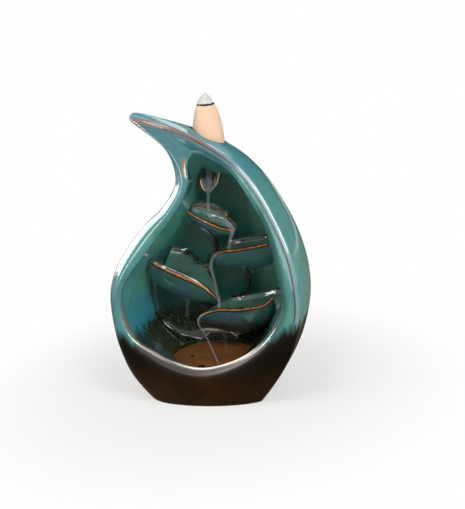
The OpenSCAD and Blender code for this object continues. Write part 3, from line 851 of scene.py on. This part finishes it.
def pressed_incense(colours, size):
    """Pressed wood powder, dyed peach: matte, slightly rough, charred in a ring below a tip of white ash"""
    material, tree, output = new_material("pressed_incense")
    at = readings(tree, {"grain": (0.6, 3, 0.6, 1), "ragged": (2, 2, 0.5, 1)})
    edge = combined(tree, "ADD", at.height, combined(tree, "MULTIPLY", at.ragged, 0.0007))
    # the burnt ring is at four fifths of the cone's height, less than a millimetre high
    burn = size.seat_height + 0.815 * size.cone_height + 0.0006
    ash = layered(tree, colours.ash, ("#c9c6c3", (at.grain, 0.3, 0.8, 0.0, 0.5)))
    colour = layered(
        tree, colours.incense,
        ("#dcae88", (at.grain, 0.3, 0.8, 0.0, 0.25)),
        ("#15110e", (edge, burn - 0.0002, burn + 0.0001)),
        (ash, (edge, burn + 0.0007, burn + 0.0010)))
    relief = (at.grain, 0.35, 0.0003)
    solid_surface(tree, output, relief, {"Base Color": colour, "Roughness": 0.9, "IOR": 1.45})
    return material


def rising_smoke():
    """Cool smoke: a thin pale haze that scatters light and hides little"""
    material, tree, output = new_material("incense_smoke")
    haze = add(tree, "ShaderNodeVolumeScatter",
               {"Color": linear("#dfe9ee"), "Density": 340.0, "Anisotropy": 0.2})
    tree.links.new(haze.outputs[0], output.inputs["Volume"])
    return material


def swept_tube(material):
    """Geometry nodes that sweep a circle along each path, as wide as the path's own radius"""
    tree = bpy.data.node_groups.new("swept_tube", "GeometryNodeTree")
    face = tree.interface
    face.new_socket("Geometry", in_out="INPUT", socket_type="NodeSocketGeometry")
    sides = face.new_socket("Sides", in_out="INPUT", socket_type="NodeSocketInt")
    thickness = face.new_socket("Thickness", in_out="INPUT", socket_type="NodeSocketFloat")
    face.new_socket("Geometry", in_out="OUTPUT", socket_type="NodeSocketGeometry")
    given = add(tree, "NodeGroupInput").outputs
    circle = add(tree, "GeometryNodeCurvePrimitiveCircle",
                 {"Resolution": given["Sides"], "Radius": given["Thickness"]})
    radius = add(tree, "GeometryNodeInputRadius")
    tube = add(tree, "GeometryNodeCurveToMesh",
               {"Curve": given["Geometry"], "Profile Curve": circle.outputs[0], "Scale": radius.outputs[0],
                "Fill Caps": True})
    real = add(tree, "GeometryNodeRealizeInstances", {"Geometry": tube.outputs[0]})
    dressed = add(tree, "GeometryNodeSetMaterial", {"Geometry": real.outputs[0], "Material": material})
    add(tree, "NodeGroupOutput", {"Geometry": dressed.outputs[0]})
    return tree, {"Sides": sides, "Thickness": thickness}


def card_cloth(name, colour):
    """Matt cloth on a studio card: in the gloss it is a dark side wall or a grey-brown table top"""
    material, tree, output = new_material(name + "_cloth")
    cloth = add(tree, "ShaderNodeBsdfDiffuse", {"Color": linear(colour)})
    tree.links.new(cloth.outputs[0], output.inputs[0])
    return material


def in_sight(tree):
    """1 for what the camera sees, directly, in gloss or through haze, and 0 for light on matt surfaces"""
    path = add(tree, "ShaderNodeLightPath").outputs
    rays = (path[name] for name in ("Is Camera Ray", "Is Glossy Ray", "Is Transmission Ray"))
    return combined(tree, "ADD", *rays, clamp=True)


def pale_floor(colours):
    """Matt white sweep: it takes the shadow close to the burner and is plain white further off"""
    material, tree, output = new_material("matt_white_sweep")
    where = add(tree, "ShaderNodeTexCoord").outputs["Object"]
    away = add(tree, "ShaderNodeVectorMath", {0: where}, operation="LENGTH").outputs["Value"]
    matt = add(tree, "ShaderNodeBsdfDiffuse", {"Color": colours.floor})
    white = add(tree, "ShaderNodeEmission", {"Color": WHITE, "Strength": 1.0})
    share = combined(tree, "MULTIPLY", in_sight(tree), (away, 0.05, 0.15, 0.52, 1.0))
    both = add(tree, "ShaderNodeMixShader", {0: share, 1: matt.outputs[0], 2: white.outputs[0]})
    tree.links.new(both.outputs[0], output.inputs[0])
    return material


# Operators


class BURNER_OT_body(bpy.types.Operator):
    """Builds the glazed body with its leaves, basin, seat and holes"""

    bl_idname = "burner.body"
    bl_label = "Burner body"

    def execute(self, context):
        size, colours = context.scene.burner_sizes, context.scene.burner_colours
        rings = body_rings(size)
        shell, leaves = skin(rings), [leaf(size, stations) for stations in LEAVES.values()]
        pads = [pad(size, which) for which in PADS]
        body = mesh_object("glazed_body", *shell)
        for part in leaves + pads:
            boolean(body, "UNION", [part])
        filleted(body.data, [shell] + leaves + pads)
        self.cut(size, body)
        body.data.materials.clear()
        body.data.materials.append(reactive_glaze(colours))
        body.data.materials.append(washed_clay(colours))
        self.mark_lines(size, body.data, rings)
        self.mark_zones(size, body.data, shell, leaves)
        self.mark_bare_floor(size, body.data)
        body.data.shade_smooth()
        body.data.set_sharp_from_angle(angle=math.radians(42))
        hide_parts("burner_body")
        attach(body, "root")
        return {"FINISHED"}

    def cut(self, size, body):
        """Cuts the foot flat, then the basin's bare floor and the seat, then the holes in both"""
        wide, deep, clear, hair = size.width, size.keel + 0.01, 0.03, 0.00001
        floor, seat = (*WELL_MIDDLE, size.well_floor), (*SEAT, size.seat_height)
        boolean(body, "DIFFERENCE", [
            block((-wide, -wide, -2 * deep), (wide, wide, 0)),
            cylinder(floor, size.well_radius, 0, WELL_DEPTH, count=160),
            cylinder(seat, SEAT_RADIUS, 0, clear)])
        holes = [cylinder((*hole["middle"], size.well_floor), hole["radius"], -STICK_HOLE_DEPTH, hole["top"],
                          math.radians(hole["lean"]), hole["sides"]) for hole in STICK_HOLES]
        holes.append(cylinder(seat, SMOKE_HOLE_RADIUS, -SMOKE_HOLE_DEPTH, hair, 0, 40))
        boolean(body, "DIFFERENCE", holes)

    def mark_lines(self, size, mesh, rings):
        """Stores how close the skin is to the lines along which the glaze breaks, thins or shines, and along
        which highlights and shade are painted
        """
        co = coordinates(mesh)
        curves = leaf_lines(size)
        lift = np.array([0, 0, 0.3 * size.leaf_wall])
        left, right, keel = (c[0] for c in curves[-1])
        turn = np.radians(np.linspace(0, 55, 8))[:, None]
        mouth = [(left + right) / 2 + np.cos(turn) * side + np.sin(turn) * (keel - (left + right) / 2)
                 for side in ((left - right) / 2, (right - left) / 2)]
        rim = rings[RIM_RING]
        inner = open_curve(mix(rim, rings[FRONT_RING], 0.55)[1:11], ALONG)
        hook = open_curve(np.concatenate([rim[-3:], rim[:1]]), ALONG)
        crest, edge = (closed_curve(ring, ALONG) for ring in (rim, rings[EDGE_RING]))
        crest, edge = (np.concatenate([c, c[:1]]) for c in (crest, edge))
        for name, lines, width in (
                ("front_lip", [c[0] + lift for c in curves[:-1]] + mouth, 0.00095),
                ("rear_lip", [mix(c[1], c[0], 0.12) + lift for c in curves[:-1]], 0.0009),
                ("pad_edge", [pad_arc(size, which) for which in PADS], 0.0007),
                ("crest", [crest], 0.0014),
                ("sheen", [edge], 0.0045),
                ("ridge", [open_curve(rim[:8], ALONG)], 0.0026),
                ("niche_edge", [edge], 0.0014),
                ("thin_line", [inner, hook], 0.0005),
                ("neck", [NECK], 0.0009)):
            store(mesh, name, np.exp(-(near_curves(co, lines) / width) ** 2))

    def mark_zones(self, size, mesh, shell, leaves):
        """Stores where the niche, its back wall, the flanks, the leaves and the upward faces of the leaves'
        insides are; the last get painted light
        """
        co = coordinates(mesh)
        tree = BVHTree.FromPolygons([tuple(q) for q in shell[0].tolist()], shell[1])
        # the number of the ring below each point, with its share of the way to the next one
        around = ALONG * len(RIM)
        ring = np.array([max(0, tree.find_nearest(p)[2] - around) // around / ACROSS for p in co.tolist()])
        store(mesh, "niche", ease(9.5, 12.5, ring))
        store(mesh, "deep", ease(12.6, 14.4, ring))
        store(mesh, "flank", ease(5.6, 4.8, ring))
        sheet = 1 - ease(0.0002, 0.0012, distances(co, joined(leaves)))
        store(mesh, "leaf", sheet)
        rise = np.array([v.normal.z for v in mesh.vertices])
        front, rear = (near_curves(co, [c[k] for c in leaf_lines(size)]) for k in (0, 1))
        rearward = np.clip((front - rear) / 0.002 + 0.5, 0, 1)
        # upward faces of the leaves' insides, which are painted lighter: painted light
        store(mesh, "inside", sheet * np.clip(4 * rise + 1, 0, 1) * rearward)

    def mark_bare_floor(self, size, mesh):
        """Gives the basin's bare floor its own material, and stores which of its faces are in a hole, for the
        painted shade there
        """
        slack, hair = 0.0001, 0.00002
        bottom = size.well_floor - STICK_HOLE_DEPTH - 0.0005
        holes = []
        for face in mesh.polygons:
            x, y, z = face.center
            inside = math.dist((x, y), WELL_MIDDLE) < size.well_radius + hair
            face.material_index = int(inside and bottom < z < size.well_floor + slack)
            # faces in a hole near its mouth get painted shade
            mouth = any(math.dist((x, y), hole["mouth"]) < hole["shade_radius"] for hole in STICK_HOLES)
            holes.append(mouth and z < size.well_floor - slack)
        store(mesh, "hole", holes, "FACE")


class BURNER_OT_cone(bpy.types.Operator):
    """Turns the incense cone, with its dome, burnt ring and smoke channel"""

    bl_idname = "burner.cone"
    bl_label = "Incense cone"

    def execute(self, context):
        size, colours = context.scene.burner_sizes, context.scene.burner_colours
        # the cone swells a little above its foot, draws in and ends in a dome; u is the height from 0 to 1
        u = np.sin(np.linspace(0, math.pi / 2, 40))
        radius = size.cone_radius * (0.94 + 0.42 * u - 0.9 * u * u) * np.sqrt(1 - u ** 6)
        bore, end = CONE_CHANNEL["radius"], CONE_CHANNEL["height"]
        profile = [(0, end), (bore, end), (bore, 0.0)] + list(zip(radius, size.cone_height * u))
        points, faces = revolve([(float(a), float(b)) for a, b in profile], 96)
        cone = mesh_object("incense_cone_pressed", points + np.array([*SEAT, size.seat_height]), faces)
        cone.data.shade_smooth()
        cone.data.set_sharp_from_angle(angle=math.radians(50))
        cone.data.materials.append(pressed_incense(colours, size))
        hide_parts("incense_cone")
        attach(cone, "root")
        return {"FINISHED"}


class BURNER_OT_smoke(bpy.types.Operator):
    """Lets smoke fall from the smoke hole over the leaves into the basin, as part of the stage"""

    bl_idname = "burner.smoke"
    bl_label = "Smoke"

    def execute(self, context):
        curve = bpy.data.curves.new("smoke_path", "CURVE")
        curve.dimensions = "3D"
        for strand in SMOKE:
            points = open_curve(np.array(strand) / 1000, 6)
            path = curve.splines.new("POLY")
            path.points.add(len(points) - 1)
            for point, (x, y, z, radius) in zip(path.points, points.tolist()):
                point.co, point.radius = (x, y, z, 1), radius
        smoke = bpy.data.objects.new("smoke", curve)
        context.scene.collection.objects.link(smoke)
        tree, sockets = swept_tube(rising_smoke())
        modifier = smoke.modifiers.new("swept_tube", "NODES")
        modifier.node_group = tree
        modifier[sockets["Sides"].identifier] = 20
        modifier[sockets["Thickness"].identifier] = 1.0
        mesh = bpy.data.meshes.new_from_object(smoke.evaluated_get(context.evaluated_depsgraph_get()))
        bpy.data.objects.remove(smoke)
        smoke = bpy.data.objects.new("smoke", mesh)
        context.scene.collection.objects.link(smoke)
        smoke.visible_shadow = False
        return {"FINISHED"}


class BURNER_OT_stage(bpy.types.Operator):
    """Sets up the floor, the soft lights, the studio cards, the white surroundings and the camera"""

    bl_idname = "burner.stage"
    bl_label = "Stage"

    def execute(self, context):
        scene, colours = context.scene, context.scene.burner_colours
        floor = self.flat("floor", (-3, 3), (-3, 3), 0, pale_floor(colours))
        self.lamps(scene)
        self.cards()
        self.surroundings(scene)
        self.camera(scene)
        scene.view_settings.view_transform = "Standard"
        return {"FINISHED"}

    def flat(self, name, x_span, y_span, z, material):
        """A flat rectangle of the stage"""
        (left, right), (near, far) = x_span, y_span
        corners = [(left, near, z), (right, near, z), (right, far, z), (left, far, z)]
        obj = mesh_object(name, corners, [(0, 1, 2, 3)])
        obj.data.materials.append(material)
        return obj

    def lamps(self, scene):
        """Lamps that light the burner, and softboxes that only its gloss shows, as white streaks"""
        for name, azimuth, elevation, away, wide, high, power in (
                ("window", 36, 38, 0.73, 0.20, 0.26, 1.9),
                ("top_front", -16, 52, 0.70, 0.36, 0.14, 1.2),
                ("left_lamp", -63, 22, 0.61, 0.06, 0.55, 0.7),
                ("right_lamp", 60, 17, 0.70, 0.06, 0.55, 0.8)):
            self.area_lamp(scene, name, TARGET, (azimuth, elevation, away), wide, high, power)
        for name, azimuth, elevation, wide, high, strength in (
                ("left_softbox", -80, 25, 0.90, 0.52, 15.0),
                ("far_softbox", -112, 14, 0.24, 0.36, 12.0),
                ("left_slit", -27, 8, 0.06, 0.50, 26.0),
                ("right_softbox", 60, 30, 0.44, 0.70, 12.0),
                ("rear_softbox", 168, 50, 0.50, 0.30, 4.0)):
            power = strength * math.pi * wide * high
            box = self.area_lamp(scene, name, TARGET, (azimuth, elevation, SOFTBOX_AWAY), wide, high, power)
            box.visible_diffuse = False
        low = self.area_lamp(scene, "low_softbox", Vector((0, -0.01, 0.03)), (-6, 3, 0.34), 0.20, 0.045, 0.09)
        low.visible_diffuse = False

    def cards(self):
        """Cards that only the gloss shows: a dark one behind each side, and a table top round the foot"""
        for name, x_span, y_span, z, place, colour in (
                ("flag", (-0.7, 0.7), (-0.32, 0.38), 0, facing(TARGET, 146, 12, 1.0), "#141414"),
                ("left_flag", (-0.35, 0.35), (-0.32, 0.38), 0, facing(TARGET, -148, 12, 1.0), "#1c2a28"),
                ("table_card", (-0.4, 0.6), (-0.6, 0.6), 0.0005, Matrix.Identity(4), "#857868")):
            flag = self.flat(name, x_span, y_span, z, card_cloth(name, colour))
            flag.matrix_world = place
            flag.visible_camera = flag.visible_diffuse = flag.visible_shadow = False

    def area_lamp(self, scene, name, target, way, wide, high, power):
        """A rectangular lamp that faces target and that the camera doesn't see"""
        lamp = bpy.data.lights.new(name, "AREA")
        lamp.shape, lamp.size, lamp.size_y, lamp.energy = "RECTANGLE", wide, high, power
        obj = bpy.data.objects.new(name, lamp)
        obj.matrix_world = facing(target, *way)
        obj.visible_camera = False
        scene.collection.objects.link(obj)
        return obj

    def surroundings(self, scene):
        """White to the camera and in reflections, soft grey as light"""
        world = bpy.data.worlds.new("white_studio")
        world.use_nodes = True
        tree = world.node_tree
        tree.nodes.clear()
        soft = add(tree, "ShaderNodeBackground", {"Color": WHITE, "Strength": 0.38})
        white = add(tree, "ShaderNodeBackground", {"Color": WHITE, "Strength": 1.0})
        both = add(tree, "ShaderNodeMixShader", {0: in_sight(tree), 1: soft.outputs[0], 2: white.outputs[0]})
        tree.links.new(both.outputs[0], add(tree, "ShaderNodeOutputWorld").inputs[0])
        scene.world = world

    def camera(self, scene):
        """The photograph's camera: from the right and above, with the horizon turned"""
        back = direction(VIEW["azimuth"], VIEW["elevation"])
        azimuth, roll = math.radians(VIEW["azimuth"]), math.radians(VIEW["roll"])
        level = Vector((math.cos(azimuth), math.sin(azimuth), 0))
        upright = back.cross(level)
        right = level * math.cos(roll) - upright * math.sin(roll)
        up = level * math.sin(roll) + upright * math.cos(roll)
        # the point in the middle of the picture, from the pixel at which the origin is seen
        across = (PICTURE[0] / 2 - ORIGIN_PIXEL[0]) / PIXELS_TO_METRE
        above = (ORIGIN_PIXEL[1] - PICTURE[1] / 2) / PIXELS_TO_METRE
        data = bpy.data.cameras.new("camera")
        data.sensor_width = SENSOR
        data.lens = SENSOR * VIEW["away"] * PIXELS_TO_METRE / PICTURE[1]
        data.clip_start, data.clip_end = 0.05, 20
        camera = bpy.data.objects.new("camera", data)
        matrix = Matrix((right, up, back)).transposed().to_4x4()
        matrix.translation = right * across + up * above + back * VIEW["away"]
        camera.matrix_world = matrix
        scene.collection.objects.link(camera)
        scene.camera = camera


class BURNER_PT_panel(bpy.types.Panel):
    """Lists the burner's pieces in the 3D view's sidebar"""

    bl_label = "Backflow incense burner"
    bl_idname = "BURNER_PT_panel"
    bl_space_type = "VIEW_3D"
    bl_region_type = "UI"
    bl_category = "Burner"

    def draw(self, context):
        for operator in OPERATORS:
            self.layout.operator(operator.bl_idname)
        for group in (context.scene.burner_sizes, context.scene.burner_colours):
            for name in group.__annotations__:
                self.layout.prop(group, name)


OPERATORS = (BURNER_OT_body, BURNER_OT_cone, BURNER_OT_smoke, BURNER_OT_stage)
CLASSES = (BurnerSizes, BurnerColours, *OPERATORS, BURNER_PT_panel)


def register():
    for cls in CLASSES:
        bpy.utils.register_class(cls)
    bpy.types.Scene.burner_sizes = bpy.props.PointerProperty(type=BurnerSizes)
    bpy.types.Scene.burner_colours = bpy.props.PointerProperty(type=BurnerColours)


def unregister():
    del bpy.types.Scene.burner_colours
    del bpy.types.Scene.burner_sizes
    for cls in reversed(CLASSES):
        bpy.utils.unregister_class(cls)


def main():
    register()
    bpy.ops.burner.body()
    bpy.ops.burner.cone()
    bpy.ops.burner.smoke()
    bpy.ops.burner.stage()


if __name__ == "__main__":
    main()
